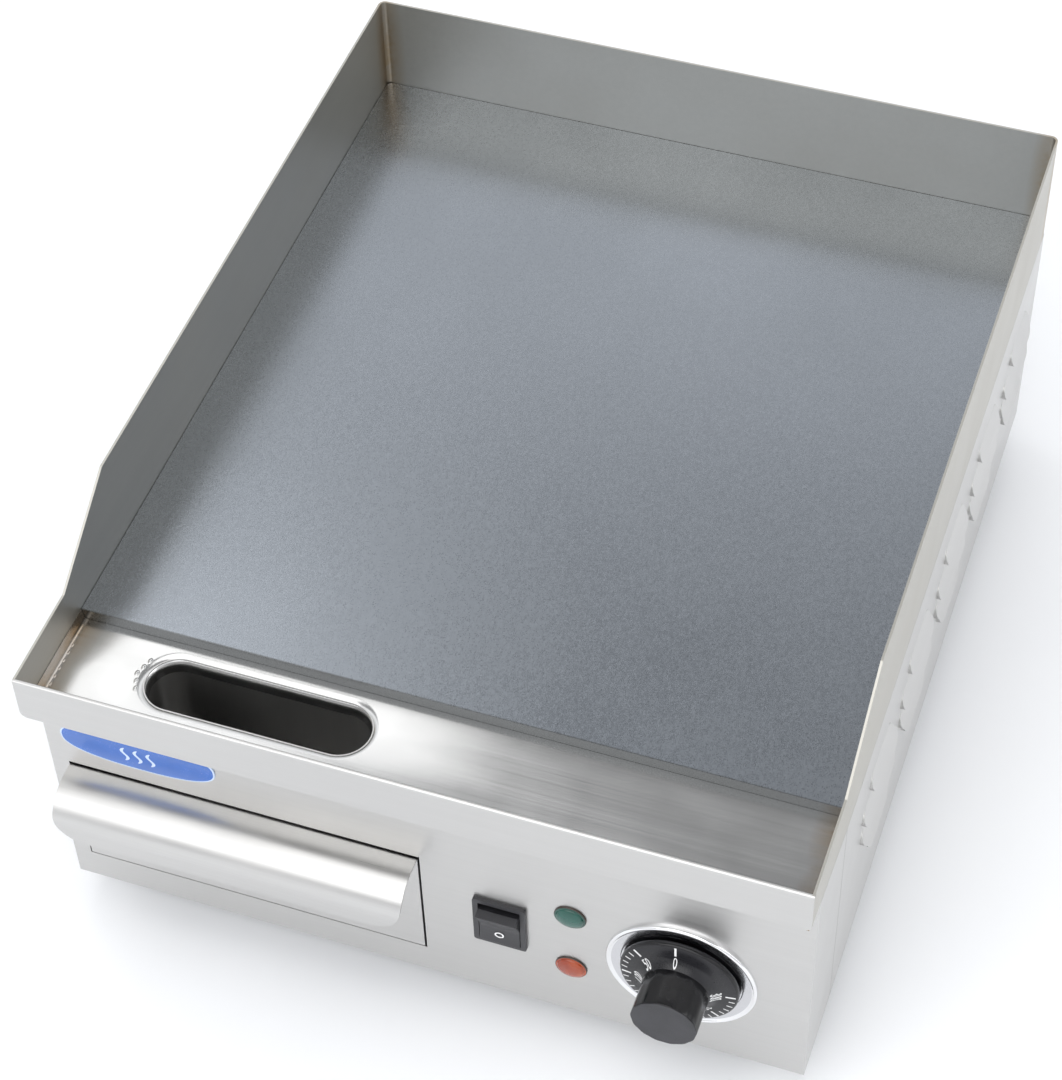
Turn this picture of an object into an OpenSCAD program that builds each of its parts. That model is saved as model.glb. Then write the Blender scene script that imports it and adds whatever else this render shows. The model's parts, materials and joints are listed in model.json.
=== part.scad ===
// Electric countertop flat top griddle: a steel cooking plate in a welded splash guard,
// a grease trough with a drain slot, and a sheet metal body that holds the heating elements,
// the controls and a slide-out grease drawer.
// Frame: +X right, +Y to the back, +Z up, origin on the floor under the middle of the griddle.

/* [Body] */
// Overall width across the side panels
body_w = 400; // [400:1:420]
// Depth from the front lip to the back
body_d = 500; // [500:1:520]
// Height of the splash guard's top edge above the surface it stands on
guard_top = 240; // [236:1:260]
// Height of the low walls round the grease trough
low_top = 204; // [202:1:208]
// Clearance under the body
foot_h = 22; // [20:1:24]
// Thickness of the stainless steel sheet
sheet = 1.2; // [1.0:0.1:1.2]

/* [Cooking plate and trough] */
// Thickness of the cooking plate
plate_t = 8; // [6:1:10]
// Height of the cooking surface
plate_top = 180.6; // [180:0.1:182]
// Height of the trough floor
trough_z = 174; // [173.8:0.1:174.2]
// Depth of the grease trough, from the front lip to the plate
trough_d = 68.3; // [66:0.1:70]
// Length of the drain slot
slot_l = 116; // [90:1:120]
// Width of the drain slot
slot_w = 29; // [24:1:30]
// Distance of the drain slot's middle left of the centre
slot_x = 93; // [85:1:100]

/* [Drawer] */
// Width of the drawer front
drawer_w = 188; // [170:1:188]
// Distance of the drawer's middle left of the centre
drawer_x = 96; // [96:1:98]
// Length of the drawer from front to back
drawer_l = 240; // [200:5:260]
// Outer radius of the curled handle
curl_r = 20; // [16:1:20]

/* [Controls] */
// Distance of the thermostat's axis right of the centre
stat_x = 134.8; // [130:0.1:138]
// Height of the thermostat and the switch
stat_z = 84.7; // [80:0.1:90]
// Distance of the switch's middle right of the centre
switch_x = 40.4; // [36:0.1:44]
// Distance of the two lamps right of the centre
lamp_x = 77.4; // [74:0.1:80]
// Height of each lamp above or below the line through the controls
lamp_rise = 22.3; // [18:0.1:26]
// Radius of the thermostat's dial
dial_r = 30.5; // [28:0.5:31]
// Radius of the thermostat's grip
grip_r = 17; // [14:0.5:18]
// How far the grip stands out from the front panel
grip_out = 30.5; // [26:0.5:34]

/* [Vents] */
// Round louvred vents in each side panel
vent_count = 5; // [3:1:5]
// Distance between neighbouring vents
vent_pitch = 77.4; // [70:0.1:80]
// Radius of a vent
vent_r = 33; // [28:1:34]
// How far the louvres stand out
louvre_out = 3.5; // [2:0.5:4]

/* [Hidden] */

$fn = 64;
eps = 0.01;

half_w = body_w / 2;
inner_x = half_w - sheet;
front_y = -body_d / 2;
back_y = body_d / 2;
inner_back_y = back_y - sheet;
fit_gap = 0.2;
seam = 0.4;

plate_y = front_y + trough_d;
plate_z = plate_top - plate_t;
skirt_z = 169;
lip_z = 179;
skirt_end_y = front_y + 66;
slope_low_y = front_y + 57;
slope_high_y = front_y + 113;
rear_corner_r = 4;
flange_w = 8;

slot_y = front_y + 44;
slot_flange = 9;
chute_gap = 0.3;
chute_low = 126;
chute_corner_r = slot_w / 2 + sheet + chute_gap + sheet;

panel_y = front_y + 16.5;
panel_in_y = panel_y + sheet;
panel_top = trough_z - sheet - seam;
return_y = front_y + 65.5;
side_top = skirt_z - seam;
base_z = foot_h + sheet;
base_top = base_z + sheet;
base_flange = 12;

drawer_z0 = 42.7;
drawer_z1 = 119.8;
drawer_gap_right = 1.2;
drawer_gap_left = 0.4;
drawer_gap_low = 0.4;
drawer_gap_top = 2.7;
box_sheet = 1;
box_inset = 2;
box_z0 = 46.5;
box_z1 = 112;
curl_y = panel_y - 7;
curl_z = drawer_z1 + sheet - curl_r;
curl_drop = 7.5;
curl_corner_r = 17;
runner_gap = 0.6;
runner_ledge = 9;

bezel_r = 39;
dial_gap = 2.5;
dial_t = 3;
shaft_r = 3;
running = 0.05;
stat_screw_x = 14;
stat_screw_r = 2;
lamp_r = 8.4;
lamp_hole_r = 6;
switch_w = 27.8;
switch_h = 35.3;
switch_body_w = 25;
switch_body_h = 32;
rocker_w = 21.4;
rocker_tilt = 11;
rocker_y = panel_y + 2.5;
rocker_z = stat_z - 0.7;
rocker_pin_r = 1;

vent_z = 111;
vent_first_y = front_y + 137.5;
louvre_pitch = 16;
louvre_h = 12;
louvre_rows = [-1.5, -0.5, 0.5, 1.5];

foot_x = half_w - 35;
foot_front_y = front_y + 55;
foot_rear_y = back_y - 35;
foot_r = 16;
foot_screw_r = 2.5;

element_r = 4;
element_z = plate_z - element_r - 0.1;
element_pitch = 130;
element_leg = 32;
element_y0 = -152;
element_y1 = 200;
element_bend = 8;
clamp_ys = [-80, 120];
clamp_xs = [-180, -65, 65, 180];
clamp_r = 3;
bar_z = element_z - element_r - 2;
shield_z = 138;
shield_y0 = -148;
shield_y1 = 236;

bulb_r = 3;
bulb_z = plate_z - bulb_r - 0.1;
bulb_y0 = -150;
bulb_y1 = -40;

gland_x = 120;
rear_fitting_z = 60;
gland_bore_r = 4.75;
gland_r = 7.9;
earth_x = -150;
earth_r = 3;
rear_reach = back_y + 14;

badge_x = 149;
badge_z = 146.5;
badge_l = 84;
badge_h = 27;

steel = "gainsboro";
dark_steel = "slategray";
black = [0.08, 0.08, 0.09];

// ---- shape helpers ----

// Extrudes an outline given in (y, z) along X
module along_x(x0, x1) {
    translate([x0, 0, 0]) rotate([90, 0, 90]) linear_extrude(x1 - x0) children();
}

// Extrudes an outline given in (x, z) along Y
module along_y(y0, y1) {
    translate([0, y1, 0]) rotate([90, 0, 0]) linear_extrude(y1 - y0) children();
}

// Box between two corners
module block(low, high) {
    translate(low) cube(high - low);
}

// Round bar along Y
module rod_y(r, x, z, y0, y1) {
    translate([x, y1, z]) rotate([90, 0, 0]) cylinder(r = r, h = y1 - y0);
}

// Round bar along X
module rod_x(r, y, z, x0, x1) {
    translate([x0, y, z]) rotate([0, 90, 0]) cylinder(r = r, h = x1 - x0);
}

// Hexagon bar along Y
module hex_y(r, x, z, y0, y1) {
    translate([x, y1, z]) rotate([90, 0, 0]) cylinder(r = r, h = y1 - y0, $fn = 6);
}

// Flat outline with round ends, centred on the origin
module obround(l, w) {
    square([l - w, w], center = true);
    for (side = [-1, 1]) translate([side * (l - w) / 2, 0]) circle(d = w);
}

// Rectangle with round corners, centred on the origin
module soft_rect(w, h, r) {
    square([w - 2 * r, h], center = true);
    square([w, h - 2 * r], center = true);
    for (i = [-1, 1], j = [-1, 1]) translate([i * (w / 2 - r), j * (h / 2 - r)]) circle(r = r);
}

// Thin eight-sided bar between two points, with rounded ends
module wire_piece(a, b, r) {
    run = b - a;
    l = norm(run);
    translate(a) {
        sphere(r = r, $fn = 8);
        rotate([0, acos(run.z / l), atan2(run.y, run.x)]) cylinder(r = r, h = l, $fn = 8);
    }
    translate(b) sphere(r = r, $fn = 8);
}

// Wire along a list of points
module wire(points, r) {
    for (i = [0:len(points) - 2]) wire_piece(points[i], points[i + 1], r);
}

// ---- cooking plate, splash guard and trough ----

module griddle_plate() {
    x = inner_x - fit_gap;
    y = inner_back_y - fit_gap;
    r = rear_corner_r;
    color(dark_steel) translate([0, 0, plate_z]) linear_extrude(plate_t) {
        translate([-x, plate_y]) square([2 * x, y - r - plate_y]);
        translate([r - x, plate_y]) square([2 * (x - r), y - plate_y]);
        for (side = [-1, 1]) translate([side * (x - r), y - r]) circle(r = r);
    }
}

// Outline of the guard seen from above, open at the front
module guard_plan(inset) {
    r = rear_corner_r - inset;
    x = half_w - inset;
    y = back_y - inset;
    y0 = front_y + sheet - inset;
    translate([-x, y0]) square([2 * x, y - r - y0]);
    translate([r - x, y0]) square([2 * (x - r), y - y0]);
    for (side = [-1, 1]) translate([side * (x - r), y - r]) circle(r = r);
}

// Outline of the guard seen from the side
module guard_profile() {
    polygon([
        [front_y + sheet, lip_z], [skirt_end_y, skirt_z], [back_y, skirt_z], [back_y, guard_top],
        [slope_high_y, guard_top], [slope_low_y, low_top], [front_y + sheet, low_top]
    ]);
}

module splash_guard() {
    ledge_z = plate_z - sheet;
    ledge_x = inner_x - flange_w;
    color(steel) {
        intersection() {
            translate([0, 0, skirt_z]) linear_extrude(guard_top - skirt_z) difference() {
                guard_plan(0);
                guard_plan(sheet);
            }
            along_x(-half_w, half_w) guard_profile();
        }
        for (x = [-inner_x, inner_x - flange_w])
            block([x, plate_y, ledge_z], [x + flange_w, inner_back_y, plate_z]);
        block([-ledge_x, inner_back_y - flange_w, ledge_z], [ledge_x, inner_back_y, plate_z]);
    }
}

// Front apron with round lower corners
module lip_apron() {
    r = 5;
    mid_z = low_top - sheet;
    along_y(front_y, front_y + sheet) {
        translate([-half_w, lip_z + r]) square([body_w, mid_z - lip_z - r]);
        translate([r - half_w, lip_z]) square([body_w - 2 * r, r]);
        for (side = [-1, 1]) translate([side * (half_w - r), lip_z + r]) circle(r = r);
    }
}

module grease_trough() {
    wall_y = front_y + sheet;
    end_x = inner_x - fit_gap;
    floor_z = trough_z - sheet;
    color(steel) {
        lip_apron();
        block([-end_x, wall_y, floor_z], [end_x, wall_y + sheet, low_top - sheet]);
        intersection() {
            rod_x(sheet, wall_y, low_top - sheet, -end_x, end_x);
            block([-half_w, front_y, low_top - sheet], [half_w, front_y + 2 * sheet, low_top]);
        }
        difference() {
            union() {
                block([-end_x, wall_y, floor_z], [end_x, plate_y - 0.1, trough_z]);
                translate([-slot_x, slot_y, trough_z - slot_flange])
                    linear_extrude(slot_flange) obround(slot_l + 2 * sheet, slot_w + 2 * sheet);
            }
            translate([-slot_x, slot_y, trough_z - slot_flange - 1])
                linear_extrude(slot_flange + 2) obround(slot_l, slot_w);
        }
        for (x = [-end_x, end_x - sheet])
            block([x, wall_y, floor_z], [x + sheet, plate_y - 0.1, plate_top]);
    }
}

module drain_chute() {
    outer_w = 2 * chute_corner_r;
    outer_l = slot_l - slot_w + outer_w;
    height = trough_z - sheet - chute_low;
    color(steel) translate([-slot_x, slot_y, chute_low]) linear_extrude(height) difference() {
        obround(outer_l, outer_w);
        obround(outer_l - 2 * sheet, outer_w - 2 * sheet);
    }
}

// ---- body panels ----

// Openings in the front panel, seen from the front
module front_cutouts() {
    open_w = drawer_w + drawer_gap_left + drawer_gap_right;
    open_x = -drawer_x - drawer_w / 2 - drawer_gap_left;
    open_h = drawer_z1 - drawer_z0 + drawer_gap_low + drawer_gap_top;
    translate([open_x, drawer_z0 - drawer_gap_low]) square([open_w, open_h]);
    translate([switch_x, stat_z]) square([switch_body_w + 0.2, switch_body_h + 0.2], center = true);
    for (side = [-1, 1]) {
        translate([lamp_x, stat_z + side * lamp_rise]) circle(r = lamp_hole_r);
        translate([stat_x + side * stat_screw_x, stat_z]) circle(r = stat_screw_r + 0.2);
    }
    translate([stat_x, stat_z]) circle(r = 5);
}

// Side return of the front panel, its top edge following the guard's slanted skirt
module front_return() {
    slant = (lip_z - skirt_z) / (skirt_end_y - front_y - sheet);
    function under_skirt(y) = lip_z - (y - front_y - sheet) * slant - seam;
    polygon([
        [panel_y, foot_h], [return_y, foot_h],
        [return_y, under_skirt(return_y)], [panel_y, under_skirt(panel_y)]
    ]);
}

module front_panel() {
    color(steel) {
        along_y(panel_y, panel_in_y) difference() {
            translate([-half_w, foot_h]) square([body_w, panel_top - foot_h]);
            front_cutouts();
        }
        block([-half_w, panel_y, panel_top - sheet], [half_w, panel_in_y + flange_w, panel_top]);
        difference() {
            block([-half_w, panel_y, foot_h], [half_w, panel_in_y + base_flange, base_z]);
            body_screw_holes();
        }
        along_x(-half_w, -inner_x) front_return();
        along_x(inner_x, half_w) front_return();
    }
}

// Length of the louvre in a row, so that the rows fill a circle
function louvre_length(row) =
    2 * sqrt(vent_r * vent_r - pow(abs(row) * louvre_pitch + 2, 2));

// Raised hood of one louvre, open at its lower edge, standing out along +X from x = 0
module louvre_hood(row) {
    l = louvre_length(row);
    difference() {
        intersection() {
            along_y(-l / 2, l / 2)
                polygon([[0, louvre_h / 2], [louvre_out, -louvre_h / 2], [0, -louvre_h / 2]]);
            rotate([90, 0, 90]) linear_extrude(louvre_out) obround(l, louvre_h);
        }
        louvre_hollow(row);
    }
}

// Air way under a hood and through the panel
module louvre_hollow(row) {
    l = louvre_length(row);
    wall = 0.9;
    intersection() {
        along_y(-l / 2, l / 2) polygon([
            [-2 * sheet, louvre_h / 2 - 4 * wall], [0, louvre_h / 2 - 4 * wall],
            [louvre_out - wall, -louvre_h / 2 - eps], [-2 * sheet, -louvre_h / 2 - eps]
        ]);
        translate([-2 * sheet, 0, 0]) rotate([90, 0, 90])
            linear_extrude(louvre_out + 2 * sheet) obround(l - 2 * wall, louvre_h);
    }
}

// Places its children at every louvre of the right-hand panel
module at_louvres() {
    for (i = [0:vent_count - 1], row = louvre_rows)
        translate([half_w, vent_first_y + i * vent_pitch, vent_z + row * louvre_pitch]) {
            if (abs(row) > 1) children(0);
            else children(1);
        }
}

// Right-hand side panel
module side_panel() {
    y0 = return_y + seam;
    y1 = inner_back_y - seam;
    difference() {
        union() {
            block([inner_x, y0, foot_h], [half_w, back_y, side_top]);
            block([inner_x - flange_w, y0, side_top - sheet], [half_w, y1, side_top]);
            block([half_w - base_flange, y0, foot_h], [half_w, y1, base_z]);
        }
        at_louvres() {
            louvre_hollow(1.5);
            louvre_hollow(0.5);
        }
        body_screw_holes();
    }
    at_louvres() {
        louvre_hood(1.5);
        louvre_hood(0.5);
    }
}

module side_panel_right() {
    color(steel) side_panel();
}

module side_panel_left() {
    color(steel) mirror([1, 0, 0]) side_panel();
}

module rear_panel() {
    x = half_w - base_flange - seam;
    top_x = inner_x - flange_w - seam;
    color(steel) difference() {
        union() {
            block([fit_gap - inner_x, inner_back_y, foot_h], [inner_x - fit_gap, back_y, side_top]);
            block([-x, back_y - base_flange, foot_h], [x, back_y, base_z]);
            block([-top_x, inner_back_y - flange_w, side_top - sheet], [top_x, inner_back_y, side_top]);
        }
        rod_y(gland_r + 0.2, gland_x, rear_fitting_z, inner_back_y - 1, back_y + 1);
        rod_y(earth_r + 0.2, earth_x, rear_fitting_z, inner_back_y - 1, back_y + 1);
        body_screw_holes();
    }
}

module base_plate() {
    vent_rows = 4;
    x = inner_x - seam;
    color(steel) difference() {
        block([-x, panel_in_y + seam, base_z], [x, inner_back_y - seam, base_top]);
        for (i = [0:vent_rows - 1], side = [-1, 1])
            translate([side * 90, -90 + i * 60, base_z - 1]) linear_extrude(3) obround(80, 6);
        at_feet() translate([0, 0, base_z - 1]) cylinder(r = foot_screw_r + 0.3, h = 3);
        body_screw_holes();
    }
}

// ---- screws and feet ----

// Places its children at the screws that join the base plate to the panels
module at_body_screws() {
    edge = base_flange / 2;
    for (side = [-1, 1]) {
        translate([side * 120, panel_y + edge, 0]) children();
        translate([side * 120, back_y - edge, 0]) children();
        for (y = [-120, 0, 120]) translate([side * (half_w - edge), y, 0]) children();
    }
}

module body_screw_holes() {
    at_body_screws() translate([0, 0, foot_h - 1]) cylinder(r = 2.2, h = 2 * sheet + 2);
}

module body_screws() {
    color("silver") at_body_screws() {
        translate([0, 0, foot_h - 1.6]) cylinder(r1 = 3, r2 = 3.8, h = 1.6);
        translate([0, 0, foot_h]) cylinder(r = 2, h = 6);
    }
}

// Places its children under the four corners
module at_feet() {
    for (side = [-1, 1], y = [foot_front_y, foot_rear_y]) translate([side * foot_x, y, 0]) children();
}

// Rubber foot with a countersunk screw recess
module foot(side, y) {
    color(black) translate([side * foot_x, y, 0]) difference() {
        union() {
            cylinder(r = foot_r, h = 3);
            translate([0, 0, 3]) cylinder(r1 = foot_r, r2 = foot_r - 2, h = base_z - 3);
        }
        translate([0, 0, -1]) cylinder(r = 7, h = 13);
        cylinder(r = foot_screw_r + 0.1, h = base_z + 1);
    }
}

module foot_screws() {
    color("silver") at_feet() {
        translate([0, 0, 8]) cylinder(r = 5, h = 4);
        translate([0, 0, 12]) cylinder(r = foot_screw_r, h = 19);
    }
}

module foot_nuts() {
    color("silver") at_feet() translate([0, 0, base_top]) difference() {
        cylinder(r = 4.6, h = 4, $fn = 6);
        translate([0, 0, -1]) cylinder(r = foot_screw_r + 0.03, h = 6);
    }
}

// ---- grease drawer ----

module drawer_box() {
    x0 = -drawer_x - drawer_w / 2 + box_inset;
    x1 = -drawer_x + drawer_w / 2 - box_inset;
    y1 = panel_in_y + drawer_l;
    color(steel) difference() {
        block([x0, panel_in_y, box_z0], [x1, y1, box_z1]);
        block([x0 + box_sheet, panel_in_y + box_sheet, box_z0 + box_sheet],
              [x1 - box_sheet, y1 - box_sheet, box_z1 + 1]);
    }
}

module drawer_front() {
    x0 = -drawer_x - drawer_w / 2;
    color(steel) block([x0, panel_y, drawer_z0], [x0 + drawer_w, panel_in_y, drawer_z1]);
}

// Side outline of the handle: a short flat, a quarter turn and a straight drop
module handle_profile() {
    translate([curl_y, curl_z + curl_r - sheet]) square([panel_in_y - curl_y, sheet]);
    translate([curl_y, curl_z]) intersection() {
        difference() {
            circle(r = curl_r);
            circle(r = curl_r - sheet);
        }
        translate([-2 * curl_r, 0]) square(2 * curl_r);
    }
    translate([curl_y - curl_r, curl_z - curl_drop]) square([sheet, curl_drop]);
}

module drawer_handle() {
    x0 = -drawer_x - drawer_w / 2;
    low_z = curl_z - curl_drop;
    r = curl_corner_r;
    color(steel) intersection() {
        along_x(x0, x0 + drawer_w) handle_profile();
        along_y(curl_y - curl_r - 1, panel_in_y + 1) {
            translate([x0, low_z + r]) square([drawer_w, 3 * curl_r]);
            translate([x0 + r, low_z - 3]) square([drawer_w - 2 * r, r + 3 + eps]);
            for (x = [x0 + r, x0 + drawer_w - r]) translate([x, low_z + r]) circle(r = r);
        }
    }
}

// Side outline and ledges of the left-hand runner
module drawer_runner() {
    web_x = -drawer_x - drawer_w / 2 + box_inset - runner_gap - sheet;
    y0 = panel_in_y + seam;
    stop_y = panel_in_y + drawer_l + 0.5;
    y1 = stop_y + 4;
    ledge_top = box_z0 - 0.3;
    lip_low = box_z1 + 0.5;
    block([web_x, y0, base_top], [web_x + sheet, y1, lip_low + sheet]);
    block([web_x, y0, ledge_top - sheet], [web_x + runner_ledge, y1, ledge_top]);
    block([web_x, y0, lip_low], [web_x + runner_ledge, y1, lip_low + sheet]);
    block([web_x, y0, base_top], [web_x + runner_ledge, y1, base_top + sheet]);
    block([web_x, stop_y, ledge_top - sheet], [web_x + runner_ledge, stop_y + sheet, lip_low]);
}

module drawer_runner_left() {
    color("silver") drawer_runner();
}

module drawer_runner_right() {
    color("silver") translate([-2 * drawer_x, 0, 0]) mirror([1, 0, 0]) drawer_runner();
}

// ---- switch and lamps ----

module switch_housing() {
    back_y0 = panel_y + 22;
    open_h = 29.8;
    color(black) {
        difference() {
            union() {
                translate([switch_x, 0, stat_z]) along_y(panel_y - 2, panel_y)
                    soft_rect(switch_w, switch_h, 1.5);
                translate([switch_x, 0, stat_z]) along_y(panel_y, back_y0)
                    square([switch_body_w, switch_body_h], center = true);
            }
            translate([switch_x, 0, stat_z]) along_y(panel_y - 3, back_y0 - 8)
                square([rocker_w + 0.6, open_h], center = true);
            rod_x(rocker_pin_r + running, rocker_y, rocker_z, switch_x - 12, switch_x + 12);
        }
        for (i = [-1, 1], j = [-1, 1])
            block([switch_x + i * 6 - 0.4, back_y0, stat_z + j * 7 - 3.2],
                  [switch_x + i * 6 + 0.4, back_y0 + 8, stat_z + j * 7 + 3.2]);
    }
}

// Rocker with its lower half pressed in
module switch_rocker() {
    half_h = 13;
    back_h = 9;
    color(black) translate([switch_x, rocker_y, rocker_z]) {
        rotate([rocker_tilt, 0, 0]) along_x(-rocker_w / 2, rocker_w / 2) polygon([
            [-8, half_h], [-4.8, 0], [-8, -half_h], [-3, -half_h], [3, -back_h], [3, back_h], [-3, half_h]
        ]);
        rod_x(rocker_pin_r, 0, 0, -11.8, 11.8);
    }
}

// Domed lens with a narrow flange
module lamp_lens(z, tint) {
    dome = 3;
    rim = 1;
    color(tint) translate([lamp_x, panel_y, z]) rotate([90, 0, 0]) {
        cylinder(r = lamp_r, h = rim);
        translate([0, 0, rim]) intersection() {
            translate([0, 0, -2]) sphere(r = lamp_r * 0.92);
            cylinder(r = lamp_r, h = dome - rim);
        }
    }
}

module green_lamp_lens() {
    lamp_lens(stat_z + lamp_rise, "seagreen");
}

module orange_lamp_lens() {
    lamp_lens(stat_z - lamp_rise, "orangered");
}

module lamp_bodies() {
    color("ivory") for (side = [-1, 1]) {
        z = stat_z + side * lamp_rise;
        rod_y(lamp_hole_r - 0.1, lamp_x, z, panel_y, panel_y + 20);
        rod_y(lamp_hole_r + 2.2, lamp_x, z, panel_in_y, panel_in_y + 3);
    }
}

// ---- thermostat ----

module thermostat_bezel() {
    rim = 2.5;
    color("silver") translate([stat_x, panel_y, stat_z]) rotate([90, 0, 0]) difference() {
        rotate_extrude() polygon([
            [12, 0], [bezel_r, 0], [bezel_r, 1.8], [bezel_r - rim / 2, 2.3], [bezel_r - rim, 1.5],
            [dial_r + 0.6, 1.3], [dial_r + 0.6, 0.8], [12, 0.8]
        ]);
        for (side = [-1, 1]) translate([side * stat_screw_x, 0, -1]) cylinder(r = stat_screw_r + 0.2, h = 4);
    }
}

module thermostat_body() {
    half_x = 19;
    half_z = 25;
    y1 = panel_in_y + 26;
    screw_end_y = panel_in_y + 8;
    color("dimgray") {
        difference() {
            union() {
                block([stat_x - half_x, panel_in_y, stat_z - half_z], [stat_x + half_x, y1, stat_z + half_z]);
                rod_y(4.8, stat_x, stat_z, panel_y - 2, panel_in_y);
            }
            rod_y(shaft_r + running, stat_x, stat_z, panel_y - 3, panel_in_y + 10);
            for (x = [stat_x - stat_screw_x, stat_x + stat_screw_x])
                rod_y(stat_screw_r + running, x, stat_z, panel_in_y - 1, screw_end_y);
        }
        for (x = [stat_x - 10, stat_x + 10])
            block([x - 3.2, y1, stat_z + 12], [x + 3.2, y1 + 8, stat_z + 12.8]);
    }
}

module thermostat_screws() {
    head_y = panel_y - 0.8;
    color("silver") for (side = [-1, 1]) {
        rod_y(3.5, stat_x + side * stat_screw_x, stat_z, head_y - 1.8, head_y);
        rod_y(stat_screw_r, stat_x + side * stat_screw_x, stat_z, head_y, panel_in_y + 6);
    }
}

module thermostat_shaft() {
    color("silver") rod_y(shaft_r, stat_x, stat_z, panel_y - 18, panel_in_y + 8);
}

// Dial and grip moulded in one piece, hollow behind the dial
module thermostat_knob() {
    hub_r = 7.5;
    skirt_r = dial_r - 4;
    color(black) translate([stat_x, panel_y - dial_gap, stat_z]) rotate([90, 0, 0]) rotate_extrude() polygon([
        [shaft_r + 0.02, 0], [hub_r, 0], [hub_r, dial_t - 1], [skirt_r, dial_t - 1], [skirt_r, 0],
        [dial_r - 0.4, 0], [dial_r, 0.6], [dial_r, 1.6], [dial_r - 1, dial_t], [grip_r + 1, dial_t + 1.6],
        [grip_r, dial_t + 3], [grip_r, grip_out - dial_gap - 1], [grip_r - 1, grip_out - dial_gap],
        [0, grip_out - dial_gap], [0, 15.6], [shaft_r + 0.02, 15.6]
    ]);
}

module capillary_tube() {
    rear_y = panel_in_y + 27;
    rise_y = -172;
    color("peru") wire([
        [stat_x, rear_y, stat_z], [stat_x, rise_y, stat_z], [stat_x, rise_y, bulb_z], [0, rise_y, bulb_z],
        [0, bulb_y0 - 1, bulb_z]
    ], 0.9);
}

module sensor_bulb() {
    color("peru") rod_y(bulb_r, 0, bulb_z, bulb_y0, bulb_y1);
}

// Saddle that holds the bulb against the underside of the plate
module bulb_clip() {
    y0 = -112;
    y1 = -100;
    groove = bulb_r + running;
    color("silver") difference() {
        union() {
            block([-groove - sheet, y0, bulb_z - groove - sheet], [groove + sheet, y1, plate_z]);
            block([-14, y0, plate_z - sheet], [14, y1, plate_z]);
        }
        rod_y(groove, 0, bulb_z, y0 - 1, y1 + 1);
        block([-groove, y0 - 1, bulb_z], [groove, y1 + 1, plate_z + 1]);
    }
}

// ---- heating ----

// Quarter bend from a leg down to its terminal
module element_bend(x) {
    translate([x, element_y0, element_z - element_bend]) rotate([90, 0, 90]) rotate([0, 0, 90])
        rotate_extrude(angle = 90) translate([element_bend, 0]) circle(r = element_r);
}

// Tubular hairpin element with both terminals turned down at the front
module hairpin(place) {
    terminal_y = element_y0 - element_bend;
    color("dimgray") translate([place * element_pitch, 0, 0]) {
        for (side = [-1, 1]) {
            x = side * element_leg;
            rod_y(element_r, x, element_z, element_y0, element_y1);
            element_bend(x);
            translate([x, terminal_y, 142]) cylinder(r = element_r, h = element_z - element_bend - 142);
            translate([x, terminal_y, 130]) cylinder(r = 2, h = 12);
        }
        translate([0, element_y1, element_z]) rotate_extrude(angle = 180)
            translate([element_leg, 0]) circle(r = element_r);
    }
}

module heating_element_left() {
    hairpin(-1);
}

module heating_element_middle() {
    hairpin(0);
}

module heating_element_right() {
    hairpin(1);
}

module element_clamp_bars() {
    color("silver") difference() {
        for (y = clamp_ys) block([-188, y - 7, bar_z], [188, y + 7, bar_z + 2]);
        at_clamps() translate([0, 0, bar_z - 1]) cylinder(r = clamp_r + 0.2, h = 4);
    }
}

// Places its children at every clamp stud
module at_clamps() {
    for (x = clamp_xs, y = clamp_ys) translate([x, y, 0]) children();
}

module clamp_studs() {
    low_z = bar_z - 9;
    color("silver") at_clamps() translate([0, 0, low_z]) cylinder(r = clamp_r, h = plate_z - low_z);
}

module clamp_nuts() {
    nut_h = 5;
    color("silver") at_clamps() translate([0, 0, bar_z - nut_h]) difference() {
        cylinder(r = 5.8, h = nut_h, $fn = 6);
        translate([0, 0, -1]) cylinder(r = clamp_r + 0.03, h = nut_h + 2);
    }
}

module insulation_blanket() {
    x = inner_x - 2.2;
    color("white") block([-x, shield_y0 + 1, shield_z + 1], [x, shield_y1 - 1, bar_z - 10]);
}

module heat_shield() {
    x = inner_x - seam;
    edge = 14;
    color("silver") difference() {
        block([-x, shield_y0, shield_z], [x, shield_y1, shield_z + edge]);
        block([1 - x, shield_y0 - 1, shield_z + 1], [x - 1, shield_y1 + 1, shield_z + edge + 1]);
    }
}

// ---- wiring, gland and earth ----

module terminal_block() {
    ways = 3;
    pitch = 14;
    color("ivory") difference() {
        block([58, -60, base_top], [102, -36, base_top + 20]);
        for (i = [0:ways - 1]) translate([66 + i * pitch, -48, base_top + 6]) cylinder(r = 3.5, h = 20);
    }
}

module wiring_loom() {
    bus_z = 128;
    bus_y = element_y0 - element_bend;
    block_y = -62;
    block_z = base_top + 8;
    outer_x = element_pitch + element_leg;
    r = 1.5;
    color("firebrick") {
        wire([
            [switch_x, panel_y + 32, stat_z], [switch_x, -185, 60], [60, -120, 35], [66, block_y, block_z]
        ], r);
        wire([
            [stat_x + 10, panel_y + 37, stat_z + 12], [150, -180, 60], [100, -120, 35], [80, block_y, block_z]
        ], r);
        wire([[-outer_x, bus_y, bus_z], [outer_x, bus_y, bus_z], [170, -150, 60], [94, block_y, block_z]], r);
    }
}

module gland_body() {
    color(black) difference() {
        union() {
            rod_y(gland_r, gland_x, rear_fitting_z, back_y - 10, back_y + 11);
            hex_y(12.5, gland_x, rear_fitting_z, back_y, back_y + 5.5);
        }
        rod_y(gland_bore_r, gland_x, rear_fitting_z, back_y - 11, back_y + 12);
    }
}

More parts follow.
